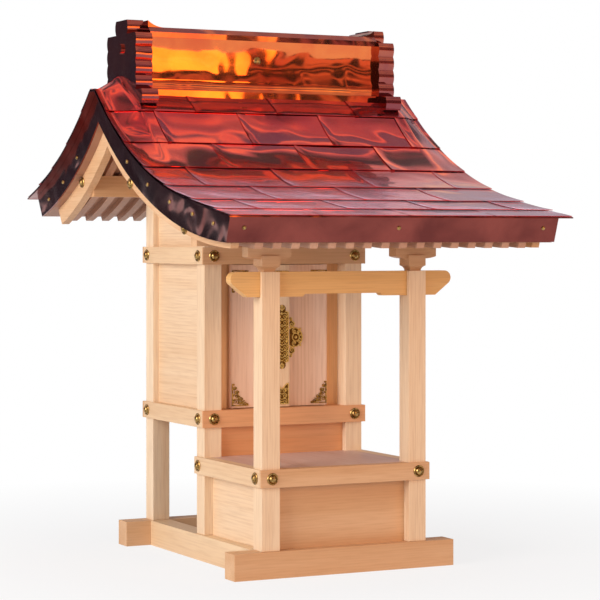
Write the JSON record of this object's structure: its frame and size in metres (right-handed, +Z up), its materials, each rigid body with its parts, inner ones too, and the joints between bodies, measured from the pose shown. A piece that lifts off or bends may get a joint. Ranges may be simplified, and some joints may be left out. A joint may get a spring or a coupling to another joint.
{
  "type": "miniature shrine",
  "caption": "Miniature wooden shrine on a sill frame, with a raised closed body, hinged double doors, a porch on posts and a swept copper roof with a box ridge.",
  "frame": {"origin": "on the ground under the middle of the roof's plan", "axes": "+X along the ridge to the viewer's right, -Y towards the front, +Z up"},
  "size_m": [0.489, 0.704, 0.7375],
  "materials": {
    "cypress": "planed, bare",
    "copper": "lacquered copper sheet, glossy"
  },
  "bodies": {
    "shrine": {"front_sill": "cypress", "back_sill": "cypress", "side_sills": "cypress", "porch_post_left": "cypress", "porch_post_right": "cypress", "middle_post_left": "cypress", "middle_post_right": "cypress", "back_post_left": "cypress", "back_post_right": "cypress", "porch_front_panel": "cypress", "porch_side_panels": "cypress", "porch_floor": "cypress", "porch_front_rail": "cypress", "porch_side_rails": "cypress", "tie_beam": "cypress", "bearing_blocks": "cypress", "bracket_arms": "cypress", "porch_purlin": "cypress", "kick_panel": "cypress", "lower_front_rail": "cypress", "lower_side_rails": "cypress", "lower_back_rail": "cypress", "upper_front_rail": "cypress", "upper_side_rails": "cypress", "upper_back_rail": "cypress", "side_wall_left": "cypress", "side_wall_right": "cypress", "back_wall": "cypress", "upper_front_wall": "cypress", "body_floor": "cypress", "door_jambs": "cypress", "middle_purlin": "cypress", "back_purlin": "cypress", "ridge_beam": "cypress", "rafters_front": "cypress", "rafters_back": "cypress", "bargeboard_front_left": "cypress", "bargeboard_front_right": "cypress", "bargeboard_back_left": "cypress", "bargeboard_back_right": "cypress", "roof_slab_front": "copper", "roof_slab_back": "copper", "roofing_front": "copper", "roofing_back": "copper", "ridge_box": "copper", "ridge_cap": "copper", "ridge_plate_left": "copper", "ridge_plate_right": "copper"},
    "door_left": {"door_leaf_left": "cypress", "meeting_strip": "cypress"},
    "door_right": {"door_leaf_right": "cypress"}
  },
  "joints": [
    {"name": "left_door_hinge", "type": "hinge", "parent": "shrine", "child": "door_left", "pos_m": [-0.0714, 0.0122, 0.303], "axis": [0, 0, -1], "range_deg": [0, 100]},
    {"name": "right_door_hinge", "type": "hinge", "parent": "shrine", "child": "door_right", "pos_m": [0.0714, 0.0122, 0.303], "axis": [0, 0, 1], "range_deg": [0, 100]}
  ]
}
